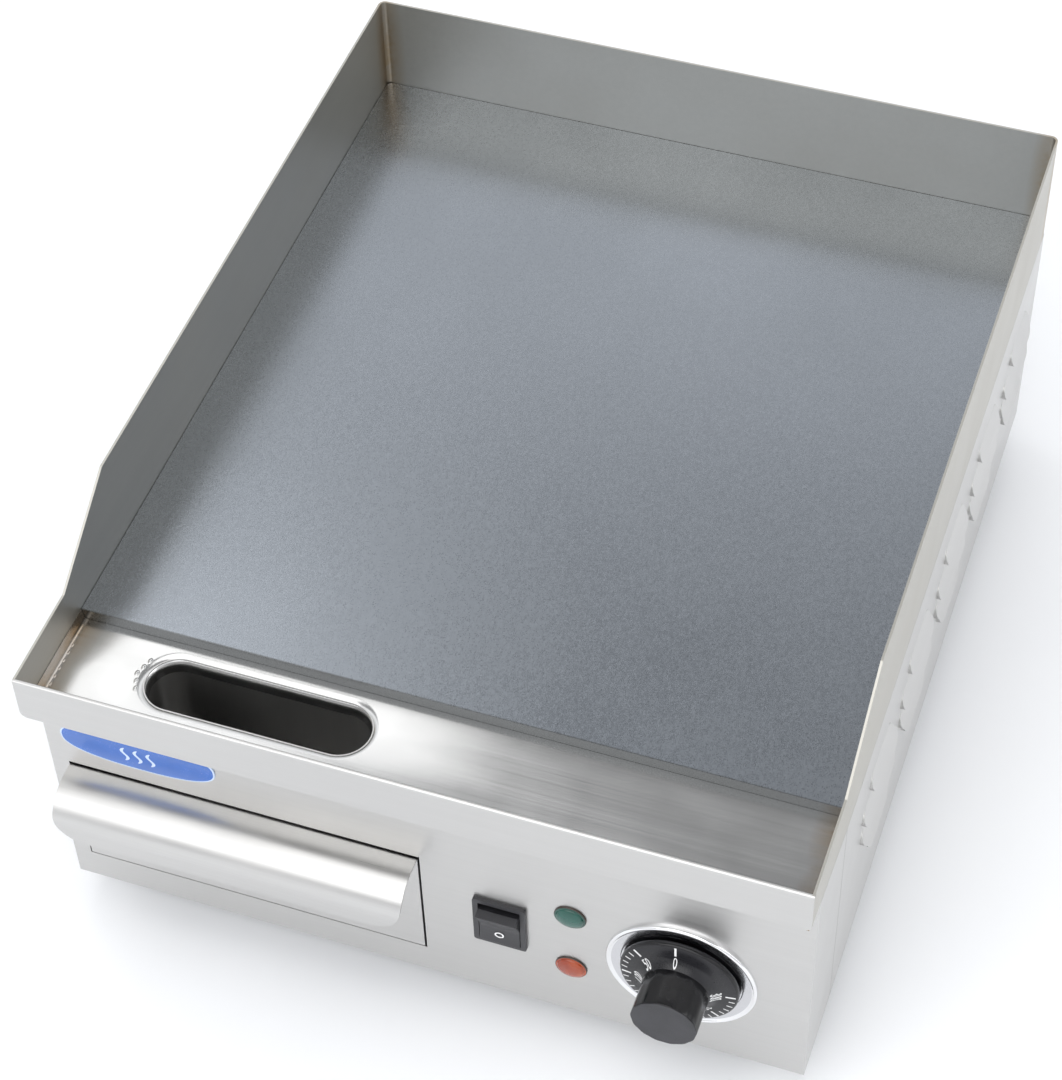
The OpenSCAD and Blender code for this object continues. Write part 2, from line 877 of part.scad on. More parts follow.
module gland_cap() {
    y0 = back_y + 5.7;
    end_y = back_y + 11.2;
    color(black) difference() {
        union() {
            rod_y(11.5, gland_x, rear_fitting_z, y0, rear_reach - 1.5);
            rod_y(10, gland_x, rear_fitting_z, y0, rear_reach);
        }
        rod_y(gland_r + 0.05, gland_x, rear_fitting_z, y0 - 1, end_y);
        rod_y(5.5, gland_x, rear_fitting_z, y0 - 1, rear_reach + 1);
    }
}

module gland_nut() {
    y1 = inner_back_y;
    color(black) difference() {
        hex_y(12.5, gland_x, rear_fitting_z, y1 - 5, y1);
        rod_y(gland_r + 0.05, gland_x, rear_fitting_z, y1 - 6, y1 + 1);
    }
}

module earth_stud() {
    color("gold") {
        rod_y(earth_r, earth_x, rear_fitting_z, back_y - 10, back_y + 13);
        rod_y(6, earth_x, rear_fitting_z, back_y, back_y + 2);
    }
}

module earth_nut() {
    y1 = inner_back_y;
    color("gold") difference() {
        hex_y(5.8, earth_x, rear_fitting_z, y1 - 5, y1);
        rod_y(earth_r + 0.03, earth_x, rear_fitting_z, y1 - 6, y1 + 1);
    }
}

// Blank oval plate on the front panel
module badge() {
    step = 7.5;
    color("royalblue") translate([-badge_x, 0, badge_z]) along_y(panel_y - 0.8, panel_y)
        polygon([for (a = [0:step:360 - step]) [badge_l / 2 * cos(a), badge_h / 2 * sin(a)]]);
}

griddle_plate();
splash_guard();
grease_trough();
drain_chute();
front_panel();
side_panel_left();
side_panel_right();
rear_panel();
base_plate();
body_screws();
foot(-1, foot_front_y);  // foot_front_left
foot(1, foot_front_y);  // foot_front_right
foot(-1, foot_rear_y);  // foot_rear_left
foot(1, foot_rear_y);  // foot_rear_right
foot_screws();
foot_nuts();
drawer_box();
drawer_front();
drawer_handle();
drawer_runner_left();
drawer_runner_right();
switch_housing();
switch_rocker();
green_lamp_lens();
orange_lamp_lens();
lamp_bodies();
thermostat_bezel();
thermostat_body();
thermostat_screws();
thermostat_shaft();
thermostat_knob();
capillary_tube();
sensor_bulb();
bulb_clip();
heating_element_left();
heating_element_middle();
heating_element_right();
element_clamp_bars();
clamp_studs();
clamp_nuts();
insulation_blanket();
heat_shield();
terminal_block();
wiring_loom();
gland_body();
gland_cap();
gland_nut();
earth_stud();
earth_nut();
badge();
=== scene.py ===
"""Flat top griddle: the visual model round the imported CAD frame, in metres."""

import json
import math

import bmesh
import bpy
from mathutils import Matrix, Vector

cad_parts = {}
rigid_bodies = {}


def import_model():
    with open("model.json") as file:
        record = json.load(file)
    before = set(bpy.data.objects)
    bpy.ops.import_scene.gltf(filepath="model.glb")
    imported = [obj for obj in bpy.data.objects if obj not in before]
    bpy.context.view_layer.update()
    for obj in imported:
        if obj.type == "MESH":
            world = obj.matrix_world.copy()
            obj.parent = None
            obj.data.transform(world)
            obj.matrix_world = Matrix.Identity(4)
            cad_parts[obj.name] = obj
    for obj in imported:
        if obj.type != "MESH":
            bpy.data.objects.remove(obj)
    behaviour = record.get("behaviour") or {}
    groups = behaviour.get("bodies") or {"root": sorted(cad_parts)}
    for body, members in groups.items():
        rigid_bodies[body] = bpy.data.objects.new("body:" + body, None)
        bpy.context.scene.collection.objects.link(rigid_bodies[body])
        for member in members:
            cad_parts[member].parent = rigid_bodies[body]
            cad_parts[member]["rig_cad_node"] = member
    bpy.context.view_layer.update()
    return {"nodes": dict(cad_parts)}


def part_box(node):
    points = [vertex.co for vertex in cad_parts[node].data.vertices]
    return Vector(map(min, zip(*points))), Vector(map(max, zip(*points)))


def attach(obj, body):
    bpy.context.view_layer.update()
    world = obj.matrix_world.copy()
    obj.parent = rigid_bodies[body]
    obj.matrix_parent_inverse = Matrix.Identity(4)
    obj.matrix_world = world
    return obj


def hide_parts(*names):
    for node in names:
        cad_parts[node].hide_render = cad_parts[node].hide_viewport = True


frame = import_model()
nodes = frame["nodes"]
MM = 0.001


# ---- node materials -------------------------------------------------------

class Surface:
    """A Principled material whose patterns lie in the object's own coordinates."""

    def __init__(self, name, metallic=0.0, roughness=0.5, color=(0.5, 0.5, 0.5)):
        self.mat = bpy.data.materials.new(name)
        self.mat.use_nodes = True
        self.tree = self.mat.node_tree
        self.shader = self.tree.nodes["Principled BSDF"]
        self.place = self.tree.nodes.new("ShaderNodeTexCoord").outputs["Object"]
        self.set("Metallic", metallic)
        self.set("Roughness", roughness)
        self.set("Base Color", (*color, 1))

    def set(self, socket, value):
        self.shader.inputs[socket].default_value = value
        return self

    def link(self, output, socket):
        self.tree.links.new(output, self.shader.inputs[socket])
        return self

    def node(self, kind, inputs=(), **settings):
        made = self.tree.nodes.new(kind)
        for key, value in settings.items():
            setattr(made, key, value)
        for key, value in dict(inputs).items():
            if isinstance(value, bpy.types.NodeSocket):
                self.tree.links.new(value, made.inputs[key])
            else:
                made.inputs[key].default_value = value
        return made

    def noise(self, per_metre, detail=3.0, rough=0.55, offset=(0, 0, 0)):
        """Noise with a separate frequency along each axis, in cells per metre."""
        spread = self.node("ShaderNodeMapping", {
            "Vector": self.place, "Scale": per_metre, "Location": offset})
        made = self.node("ShaderNodeTexNoise", {
            "Vector": spread.outputs[0], "Scale": 1.0, "Detail": detail, "Roughness": rough})
        return made.outputs["Fac"]

    def math(self, operation, a, b=0.0):
        return self.node("ShaderNodeMath", {0: a, 1: b}, operation=operation).outputs[0]

    def spread(self, value, low, high, out_low=0.0, out_high=1.0):
        """Maps low..high to out_low..out_high, clamped."""
        made = self.node("ShaderNodeMapRange", {
            "Value": value, "From Min": low, "From Max": high, "To Min": out_low, "To Max": out_high})
        return made.outputs[0]

    def mix(self, factor, a, b):
        """Colour a at factor 0 and colour b at factor 1; each is a socket or an RGB triple."""
        made = self.node("ShaderNodeMix", data_type="RGBA")
        self.tree.links.new(factor, made.inputs[0])
        for place, value in ((6, a), (7, b)):
            if isinstance(value, bpy.types.NodeSocket):
                self.tree.links.new(value, made.inputs[place])
            else:
                made.inputs[place].default_value = (*value, 1)
        return made.outputs[2]

    def near(self, centre, reach):
        """1 at a point, fading to 0 at reach; centre and reach are given per axis in metres."""
        offset = [-c / r for c, r in zip(centre, reach)]
        scaled = self.node("ShaderNodeMapping", {
            "Vector": self.place, "Scale": [1 / r for r in reach], "Location": offset})
        length = self.node("ShaderNodeVectorMath", {0: scaled.outputs[0]}, operation="LENGTH")
        return self.spread(length.outputs["Value"], 0.0, 1.0, 1.0, 0.0)

    def bump(self, height, strength, distance):
        made = self.node("ShaderNodeBump", {"Height": height, "Strength": strength, "Distance": distance})
        return self.link(made.outputs[0], "Normal")


def stretched(axis, along, across):
    """Frequencies that draw long streaks along one axis."""
    return [along if i == "XYZ".index(axis) else across for i in range(3)]


def brushed(name, axis, light=(0.59, 0.585, 0.575), dark=(0.56, 0.555, 0.545), rough=(0.30, 0.38), tint=()):
    """Brushed stainless steel with streaks along an axis, faint smudges and heat tint near welds."""
    made = Surface(name, metallic=1.0)
    fine = made.noise(stretched(axis, 7, 2200), detail=2)
    broad = made.noise(stretched(axis, 3, 260), detail=2, offset=(3, 5, 7))
    smudge = made.noise([14, 14, 14], detail=3, offset=(9, 1, 4))
    streak = made.math("ADD", made.math("MULTIPLY", fine, 0.6), made.math("MULTIPLY", broad, 0.4))
    color = made.mix(made.spread(streak, 0.34, 0.66), dark, light)
    for centre, reach in tint:
        heat = made.math("MULTIPLY", made.near(centre, reach), made.spread(broad, 0.2, 0.8, 0.5, 1.0))
        color = made.mix(heat, color, (0.36, 0.25, 0.13))
    made.link(color, "Base Color")
    worn = made.math("ADD", made.spread(streak, 0.3, 0.7, *rough),
                     made.spread(smudge, 0.35, 0.7, -0.03, 0.06))
    made.link(worn, "Roughness")
    return made.bump(streak, 0.02, 0.0002).mat


def ground_plate():
    """Ground cooking plate: blue-grey, with a fine speckled grain and a soft mottle."""
    made = Surface("ground_plate", metallic=1.0)
    fleck = made.noise([1900, 1000, 1900], detail=3, rough=0.7)
    grain = made.noise([700, 380, 700], detail=3, rough=0.65, offset=(2, 4, 6))
    cloud = made.noise([9, 7, 9], detail=3, offset=(5, 5, 5))
    speck = made.math("ADD", made.math("MULTIPLY", fleck, 0.6), made.math("MULTIPLY", grain, 0.4))
    color = made.mix(made.spread(speck, 0.36, 0.66), (0.235, 0.255, 0.28), (0.33, 0.355, 0.39))
    color = made.mix(made.spread(cloud, 0.3, 0.75, 0.0, 0.3), color, (0.25, 0.27, 0.295))
    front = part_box("griddle_plate")[0].y
    across = made.node("ShaderNodeSeparateXYZ", {"Vector": made.place})
    edge = made.spread(across.outputs["Y"], front + 0.0002, front + 0.0010, 0.75, 0.0)
    made.link(made.mix(edge, color, (0.10, 0.10, 0.095)), "Base Color")
    made.link(made.math("ADD", made.spread(speck, 0.3, 0.7, 0.22, 0.32),
                        made.spread(cloud, 0.3, 0.7, -0.02, 0.03)), "Roughness")
    return made.bump(speck, 0.10, 0.0003).mat


def plastic(name, color, rough=0.4, grain=1500, depth=0.05, coat=0.0, lighter=1.5, shine=0.5):
    """Moulded plastic with a fine grain and slight patchiness."""
    made = Surface(name)
    fine = made.noise([grain] * 3, detail=2)
    patch = made.noise([60] * 3, detail=3, offset=(4, 2, 8))
    bright = tuple(min(1.0, c * lighter + 0.004) for c in color)
    made.link(made.mix(made.spread(patch, 0.3, 0.7), color, bright), "Base Color")
    made.link(made.math("ADD", made.spread(fine, 0.3, 0.7, rough - 0.05, rough + 0.06),
                        made.spread(patch, 0.3, 0.7, -0.03, 0.03)), "Roughness")
    made.set("Specular IOR Level", shine)
    made.set("Coat Weight", coat)
    made.set("Coat Roughness", 0.08)
    return made.bump(fine, depth, 0.0002).mat


def metal(name, color, rough=0.3, grain=900, depth=0.05, dark=0.8):
    """Plain metal with fine grain, for plated and drawn pieces."""
    made = Surface(name, metallic=1.0)
    fine = made.noise([grain] * 3, detail=3)
    patch = made.noise([45] * 3, detail=3, offset=(1, 7, 3))
    made.link(made.mix(made.spread(patch, 0.3, 0.7), tuple(c * dark for c in color), color), "Base Color")
    made.link(made.math("ADD", made.spread(fine, 0.3, 0.7, rough - 0.06, rough + 0.08),
                        made.spread(patch, 0.3, 0.7, -0.03, 0.04)), "Roughness")
    return made.bump(fine, depth, 0.0002).mat


def lens(name, color, glow):
    """Tinted translucent lens, a little lighter where its inside shows."""
    made = Surface(name, roughness=0.1)
    depth = made.noise([90] * 3, detail=1)
    fine = made.noise([900] * 3, detail=1, offset=(3, 3, 1))
    made.link(made.mix(made.spread(depth, 0.35, 0.65), color, glow), "Base Color")
    made.link(made.spread(fine, 0.3, 0.7, 0.07, 0.14), "Roughness")
    made.set("Transmission Weight", 0.15)
    made.set("Coat Weight", 0.3)
    made.set("Coat Roughness", 0.04)
    return made.bump(fine, 0.03, 0.0002).mat


def blanket_fibre():
    made = Surface("blanket_fibre", roughness=0.95)
    fibre = made.noise([300, 300, 900], detail=5, rough=0.8)
    made.link(made.mix(made.spread(fibre, 0.3, 0.7), (0.70, 0.68, 0.63), (0.93, 0.92, 0.89)), "Base Color")
    return made.bump(fibre, 0.6, 0.001).mat


WELD_TINT = [((side * 0.197, y, 0.177), (0.013, 0.034, 0.020)) for side in (-1, 1) for y in (-0.190, -0.240)]
REAR_TINT = [((side * 0.198, 0.248, 0.200), (0.012, 0.012, 0.080)) for side in (-1, 1)]

steel_x = brushed("brushed_along_x", "X")
steel_y = brushed("brushed_along_y", "Y")
steel_z = brushed("brushed_along_z", "Z")
# The guard's steel is a darker copy of the brushed stainless. Its lower brightness is painted shade for the
# dimmer walls, and the tint at its rear corners is heat tint.
steel_guard_painted_shade = brushed("guard_steel_painted_shade", "Y", (0.50, 0.487, 0.447), (0.465, 0.452, 0.415), (0.36, 0.44),
                      REAR_TINT)
steel_trough = brushed("trough_steel", "X", (0.60, 0.60, 0.595), (0.57, 0.57, 0.565), (0.16, 0.22), WELD_TINT)
plate_finish = ground_plate()
black_satin = plastic("black_satin", (0.022, 0.022, 0.025), rough=0.42)
black_gloss = plastic("black_gloss", (0.005, 0.005, 0.006), rough=0.15, depth=0.02, shine=0.35)
black_end = plastic("grip_end_satin", (0.036, 0.036, 0.040), rough=0.55, depth=0.08, shine=0.3)
dial_black = plastic("dial_black", (0.009, 0.009, 0.011), rough=0.30, depth=0.03, shine=0.35)
mark_white = plastic("mark_white", (0.80, 0.80, 0.80), rough=0.5, lighter=1.1)
rubber = plastic("foot_rubber", (0.018, 0.018, 0.018), rough=0.75, grain=800, depth=0.3)
zinc = metal("zinc_plate", (0.66, 0.67, 0.68), rough=0.34)
chrome = metal("chrome", (0.86, 0.86, 0.87), rough=0.08, depth=0.01, dark=0.96)
satin_ring = metal("satin_ring", (0.64, 0.64, 0.66), rough=0.17, depth=0.04, dark=0.94)
brass = metal("brass", (0.78, 0.58, 0.24), rough=0.3)
copper = metal("drawn_copper", (0.75, 0.42, 0.28), rough=0.32)
sheath = metal("element_sheath", (0.24, 0.23, 0.22), rough=0.5, depth=0.1)
ceramic = plastic("terminal_ceramic", (0.78, 0.76, 0.70), rough=0.5, lighter=1.08)
bakelite = plastic("thermostat_case", (0.06, 0.05, 0.045), rough=0.45)
wire_cover = plastic("wire_silicone", (0.45, 0.07, 0.05), rough=0.5)
lamp_nylon = plastic("lamp_nylon", (0.75, 0.74, 0.70), rough=0.5, lighter=1.08)
green_glass = lens("green_lens", (0.0, 0.045, 0.03), (0.0, 0.095, 0.07))
orange_glass = lens("orange_lens", (0.31, 0.036, 0.006), (0.46, 0.075, 0.012))
badge_blue = plastic("badge_blue", (0.020, 0.115, 0.45), rough=0.22, depth=0.02, coat=0.5, lighter=1.15)
lamp_edge = plastic("lamp_edge", (0.03, 0.02, 0.015), rough=0.3, depth=0.02)
badge_light = plastic("badge_light", (0.55, 0.66, 0.85), rough=0.25, depth=0.02, coat=0.4, lighter=1.1)
fibre = blanket_fibre()

FINISH = {
    "griddle_plate": plate_finish, "splash_guard": steel_guard_painted_shade, "drain_chute": steel_z,
    "front_panel": steel_x, "side_panel_left": steel_y, "side_panel_right": steel_y,
    "rear_panel": steel_x, "base_plate": steel_x, "drawer_box": steel_y, "drawer_front": steel_x,
    "body_screws": zinc, "foot_screws": zinc, "foot_nuts": zinc,
    "drawer_runner_left": zinc, "drawer_runner_right": zinc, "thermostat_screws": zinc,
    "thermostat_shaft": zinc, "bulb_clip": zinc, "element_clamp_bars": zinc, "clamp_studs": zinc,
    "clamp_nuts": zinc, "heat_shield": zinc,
    "foot_front_left": rubber, "foot_front_right": rubber, "foot_rear_left": rubber,
    "foot_rear_right": rubber,
    "switch_housing": black_satin, "gland_body": black_satin, "gland_cap": black_satin,
    "gland_nut": black_satin, "lamp_bodies": lamp_nylon, "thermostat_body": bakelite,
    "capillary_tube": copper, "sensor_bulb": copper, "heating_element_left": sheath,
    "heating_element_middle": sheath, "heating_element_right": sheath,
    "insulation_blanket": fibre, "terminal_block": ceramic, "wiring_loom": wire_cover,
    "earth_stud": brass, "earth_nut": brass,
}


# ---- mesh helpers ---------------------------------------------------------

def piece(name, mesh, body, slot, *materials, smooth=40, bevel=0.0):
    """Adds a mesh as a piece on a body, smooth shaded up to an angle, with optional soft edges."""
    made = bpy.data.objects.new(name, mesh)
    bpy.context.scene.collection.objects.link(made)
    for material in materials:
        mesh.materials.append(material)
    mesh.polygons.foreach_set("use_smooth", [True] * len(mesh.polygons))
    mesh.set_sharp_from_angle(angle=math.radians(smooth))
    if bevel:
        soften(made, bevel)
    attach(made, body)
    return made


def soften(made, width, segments=3):
    """Rounds the sharp edges of a piece, or of a CAD node once its split corners are joined."""
    if "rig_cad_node" in made:
        made.modifiers.new("join", "WELD").merge_threshold = 0.00001
    edge = made.modifiers.new("soft_edges", "BEVEL")
    edge.width = width
    edge.segments = segments
    edge.limit_method = "ANGLE"
    edge.angle_limit = math.radians(35)
    edge.harden_normals = True


def mesh_from(name, build):
    """Makes a mesh from a function that fills a bmesh."""
    work = bmesh.new()
    build(work)
    bmesh.ops.recalc_face_normals(work, faces=work.faces)
    mesh = bpy.data.meshes.new(name)
    work.to_mesh(mesh)
    work.free()
    return mesh


def prism(name, outline, low, high, place):
    """Closed solid between two copies of an outline; place(u, v, w) gives a point of the frame."""
    def build(work):
        ends = [[work.verts.new(place(u, v, w)) for u, v in outline] for w in (low, high)]
        count = len(outline)
        for i in range(count):
            j = (i + 1) % count
            work.faces.new((ends[0][i], ends[0][j], ends[1][j], ends[1][i]))
        work.faces.new(ends[0])
        work.faces.new(ends[1])
    return mesh_from(name, build)


def lathe(name, profile, centre, steps=96, ripple=None, closed=False):
    """Solid of revolution about a line along -Y; profile is (radius, distance out) in metres."""
    def build(work):
        rings = []
        for i in range(steps):
            angle = 2 * math.pi * i / steps
            ring = []
            for radius, out in profile:
                shown = radius * (ripple(angle, radius, out) if ripple else 1.0)
                place = Vector((shown * math.sin(angle), -out, shown * math.cos(angle)))
                ring.append(work.verts.new(centre + place))
            rings.append(ring)
        for i in range(steps):
            here, there = rings[i], rings[(i + 1) % steps]
            for k in range(len(profile) if closed else len(profile) - 1):
                after = (k + 1) % len(profile)
                work.faces.new((here[k], here[after], there[after], there[k]))
        for k in () if closed else (0, -1):
            if profile[k][0] > 0:
                work.faces.new([ring[k] for ring in rings])
        bmesh.ops.remove_doubles(work, verts=work.verts, dist=1e-7)
    return mesh_from(name, build)


def arc(cx, cy, radius, start, end, count):
    """Points along an arc, angles in degrees."""
    turn = [math.radians(start + (end - start) * i / count) for i in range(count + 1)]
    return [(cx + radius * math.cos(t), cy + radius * math.sin(t)) for t in turn]


def obround(length, width, count=24):
    """Closed outline with round ends, centred on the origin."""
    reach = (length - width) / 2
    return arc(reach, 0, width / 2, -90, 90, count) + arc(-reach, 0, width / 2, 90, 270, count)


def along_x(u, v, w):
    """Places an outline in the YZ plane and its length along X."""
    return (w, u, v)


def along_y(u, v, w):
    """Places an outline in the XZ plane and its length along Y."""
    return (u, w, v)


# ---- CAD nodes that keep their shape --------------------------------------

EDGE = {"griddle_plate": 0.0004, "drawer_front": 0.0003, "gland_cap": 0.0008}
for node, material in FINISH.items():
    shown = nodes[node]
    shown.data.materials.clear()
    shown.data.materials.append(material)
    if node in EDGE:
        soften(shown, EDGE[node], segments=2)


# ---- grease trough --------------------------------------------------------

trough_low, trough_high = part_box("grease_trough")
slot_low, slot_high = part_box("drain_chute")
plate_low, plate_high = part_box("griddle_plate")
SHEET = 1.2 * MM
floor_top = 174 * MM
panel_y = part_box("front_panel")[0].y
trough_end_x = trough_high.x - SHEET - 0.2 * MM


def front_wall():
    """Inner wall of the lip and the bend into the floor."""
    y0 = trough_low.y
    top = trough_high.z - SHEET
    bend = 3.2 * MM
    wall = y0 + 2 * SHEET
    start = y0 + 12 * MM
    outline = [(start, floor_top)] + arc(wall + bend, floor_top + bend, bend, 270, 180, 8)
    outline += [(wall, top), (y0 + SHEET, top)]
    outline += arc(wall + bend, floor_top + bend, bend + SHEET, 180, 270, 8) + [(start, floor_top - SHEET)]
    return prism("front_wall", outline, -trough_end_x, trough_end_x, along_x)


def hem():
    """Folded top edge of the lip over the full width."""
    outline = arc(trough_low.y + SHEET, trough_high.z - SHEET, SHEET, 0, 180, 10)
    return prism("hem", outline, -trough_high.x, trough_high.x, along_x)


def apron():
    """Outer face of the lip over the full width, with round lower corners."""
    y0 = trough_low.y
    r = 4 * MM
    x = trough_high.x
    low = 176.2 * MM
    top = trough_high.z - SHEET
    outline = (arc(-x + r, low + r, r, 180, 270, 8) + arc(x - r, low + r, r, 270, 360, 8)
               + [(x, top), (-x, top)])
    return prism("apron", outline, y0, y0 + SHEET, along_y)


def trough_floor():
    """Flat floor whose drain slot has a smooth rolled-down rim."""
    centre = (slot_low + slot_high) / 2
    slot_w = 29 * MM
    slot_l = 116 * MM
    roll = 5.5 * MM
    depth = 9 * MM
    x = trough_end_x
    y_front = trough_low.y + 12 * MM
    y_back = plate_low.y - 0.1 * MM
    steps = 8

    def build(work):
        rings = []
        for i in range(steps + 1):
            turn = math.pi / 2 * i / steps
            grow = roll * (1 - math.sin(turn))
            drop = roll * (1 - math.cos(turn))
            ring = obround(slot_l + 2 * grow, slot_w + 2 * grow)
            rings.append([work.verts.new((centre.x + u, centre.y + v, floor_top - drop)) for u, v in ring])
        low_ring = obround(slot_l, slot_w)
        rings.append([work.verts.new((centre.x + u, centre.y + v, floor_top - depth)) for u, v in low_ring])
        under = obround(slot_l + 2 * SHEET, slot_w + 2 * SHEET)
        for drop in (depth, roll + SHEET):
            rings.append([work.verts.new((centre.x + u, centre.y + v, floor_top - drop)) for u, v in under])
        for a, b in zip(rings, rings[1:]):
            for i in range(len(a)):
                j = (i + 1) % len(a)
                work.faces.new((a[i], a[j], b[j], b[i]))
        corners = [(-x, y_front), (x, y_front), (x, y_back), (-x, y_back)]
        upper = [work.verts.new((u, v, floor_top)) for u, v in corners]
        lower = [work.verts.new((u, v, floor_top - SHEET)) for u, v in corners]
        for rim, ring in ((upper, rings[0]), (lower, rings[-1])):
            edges = [work.edges.new(pair) for pair in zip(rim, rim[1:] + rim[:1])]
            edges += [work.edges.get(pair) for pair in zip(ring, ring[1:] + ring[:1])]
            bmesh.ops.triangle_fill(work, use_beauty=True, edges=edges)
        for i in range(4):
            j = (i + 1) % 4
            work.faces.new((upper[i], upper[j], lower[j], lower[i]))
    return mesh_from("trough_floor", build)


lip = piece("trough_front_lip", front_wall(), "root", "stainless", steel_x)
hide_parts("grease_trough")
piece("trough_hem", hem(), "root", "stainless", steel_x)
piece("trough_apron", apron(), "root", "stainless", steel_x, bevel=0.0003)
piece("trough_floor_sheet", trough_floor(), "root", "stainless", steel_trough, smooth=30)

for side, label in ((-1, "left"), (1, "right")):
    end_x = trough_end_x
    low_y = trough_low.y + 2 * SHEET
    high_y = plate_low.y - 0.1 * MM
    corner = 2.2 * MM
    outline = ([(end_x, floor_top - SHEET), (end_x, plate_high.z)]
               + arc(end_x - SHEET - corner, floor_top + corner, corner, 0, -90, 8)
               + [(end_x - 2 * corner - SHEET, floor_top - SHEET)])
    end_cap = prism("trough_end", [(side * u, v) for u, v in outline], low_y, high_y, along_y)
    piece(f"trough_end_{label}", end_cap, "root", "stainless", steel_trough, bevel=0.0002)


def weld_spots(work):
    """Low drops of weld metal in the floor's end corners and at the left end of the slot."""
    spots = [(side * (trough_end_x - 2.6 * MM), trough_low.y + (14 + 5.2 * i) * MM, 0.9 * MM)
             for side in (-1, 1) for i in range(8)]
    slot_end = slot_low.x - 4 * MM
    spots += [(slot_end + 1.6 * MM * abs(i), (slot_low.y + slot_high.y) / 2 + 4.5 * MM * i, 1.3 * MM)
              for i in (-2, -1, 0, 1, 2)]
    for x, y, radius in spots:
        place = Matrix.Translation((x, y, floor_top)) @ Matrix.Diagonal((1, 1.5, 0.45, 1))
        bmesh.ops.create_icosphere(work, subdivisions=2, radius=radius, matrix=place)


piece("trough_weld_spots", mesh_from("trough_weld_spots", weld_spots), "root", "stainless", steel_trough)


# ---- drawer handle --------------------------------------------------------

def drawer_curl():
    """Sheet that leaves the drawer's top edge flat and turns down to a short drop with round corners."""
    low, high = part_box("drawer_handle")
    radius = 20 * MM
    centre_y = panel_y - 7 * MM
    centre_z = high.z - radius
    corner = 17 * MM
    flat = 6.6 * MM
    turned = flat + radius * math.pi / 2
    length = turned + 7.5 * MM
    across = 96
    down = 34
    half = (high.x - low.x) / 2
    middle = (high.x + low.x) / 2

    def at(s, r):
        """Point of the sheet's side view at a distance s along it."""
        if s < flat:
            return centre_y + flat - s, centre_z + r
        if s > turned:
            return centre_y - r, centre_z + turned - s
        turn = (s - flat) / radius
        return centre_y - r * math.sin(turn), centre_z + r * math.cos(turn)

    def half_width(s):
        left = length - s
        if left >= corner:
            return half
        return half - corner + math.sqrt(max(0.0, corner ** 2 - (corner - left) ** 2))

    def build(work):
        faces = {}
        for layer, r in enumerate((radius, radius - SHEET)):
            for j in range(down + 1):
                s = length * (1 - (1 - j / down) ** 1.35)
                y, z = at(s, r)
                for i in range(across + 1):
                    u = -math.cos(math.pi * i / across)
                    faces[layer, j, i] = work.verts.new((middle + half_width(s) * u, y, z))
        for layer in (0, 1):
            for j in range(down):
                for i in range(across):
                    corners = [faces[layer, j, i], faces[layer, j, i + 1],
                               faces[layer, j + 1, i + 1], faces[layer, j + 1, i]]
                    work.faces.new(corners if layer else corners[::-1])
        rim = ([(0, i) for i in range(across)] + [(j, across) for j in range(down)]
               + [(down, i) for i in range(across, 0, -1)] + [(j, 0) for j in range(down, 0, -1)])
        for a, b in zip(rim, rim[1:] + rim[:1]):
            work.faces.new((faces[(0, *a)], faces[(0, *b)], faces[(1, *b)], faces[(1, *a)]))
    return mesh_from("drawer_curl", build)


handle = piece("drawer_handle_curl", drawer_curl(), "drawer", "stainless", steel_x, smooth=50, bevel=0.0003)
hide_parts("drawer_handle")


# ---- thermostat knob and bezel --------------------------------------------

knob_low, knob_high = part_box("thermostat_knob")
stat = Vector(((knob_low.x + knob_high.x) / 2, panel_y, (knob_low.z + knob_high.z) / 2))
DIAL_R = (knob_high.x - knob_low.x) / 2
GRIP_R = 17 * MM
DIAL_BACK = 2.5 * MM
DIAL_FRONT = 5.5 * MM
FLARE_R = 22 * MM
grip_end = panel_y - knob_low.y


def cone_out(radius):
    """How far the dial's face stands out: a shallow slope that flares up round the grip's foot."""
    slope = (DIAL_R - 1 * MM - radius) * 0.147
    flare = max(0.0, FLARE_R - radius) ** 2 * 118
    return DIAL_FRONT + slope + flare


dial_profile = [
    (3.1 * MM, DIAL_BACK), (7.5 * MM, DIAL_BACK), (7.5 * MM, DIAL_BACK + 2 * MM),
    (DIAL_R - 4 * MM, DIAL_BACK + 2 * MM), (DIAL_R - 4 * MM, DIAL_BACK), (DIAL_R - 0.4 * MM, DIAL_BACK),
    (DIAL_R, DIAL_BACK + 0.5 * MM), (DIAL_R, DIAL_FRONT - 1.2 * MM),
    (DIAL_R - 0.3 * MM, DIAL_FRONT - 0.5 * MM), (DIAL_R - 1 * MM, DIAL_FRONT),
]
dial_profile += [(r * MM, cone_out(r * MM)) for r in (25, 22, 21, 20, 19, 18, 17, 16.5)]
dial_profile += [(3.1 * MM, cone_out(16.5 * MM))]
dial = piece("thermostat_dial", lathe("dial", dial_profile, stat), "knob", "knob_black",
             dial_black, black_gloss)
for face in dial.data.polygons:
    away = Vector((face.center.x - stat.x, face.center.z - stat.z))
    face.material_index = 1 if away.length > DIAL_R - 1.1 * MM else 0
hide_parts("thermostat_knob")

FLUTES = 14


def fluting(angle, radius, out):
    """Shallow scallops round the grip that fade out at its foot."""
    if radius < GRIP_R - 2 * MM:
        return 1.0
    depth = 0.016 * min(1.0, max(0.0, (out - 11 * MM) / (4 * MM)))
    return 1.0 - depth * (0.5 + 0.5 * math.cos(FLUTES * angle))


grip_profile = [(3.1 * MM, 9 * MM), (GRIP_R, 9 * MM)] + [(GRIP_R, out * MM) for out in (11, 14, 18, 22, 26)]
grip_profile += [(GRIP_R - 0.3 * MM + 0.3 * MM * math.cos(t), grip_end - 0.8 * MM + 0.8 * MM * math.sin(t))
                 for t in (0.0, 0.5, 1.0, 1.57)]
grip_profile += [(GRIP_R - 1.2 * MM, grip_end), (0.0, grip_end)]
grip_mesh = lathe("grip", grip_profile, stat, steps=168, ripple=fluting)
grip = piece("thermostat_grip", grip_mesh, "knob", "knob_black", black_gloss, black_end)
for face in grip.data.polygons:
    if face.center.y < stat.y - grip_end + 0.02 * MM:
        face.material_index = 1


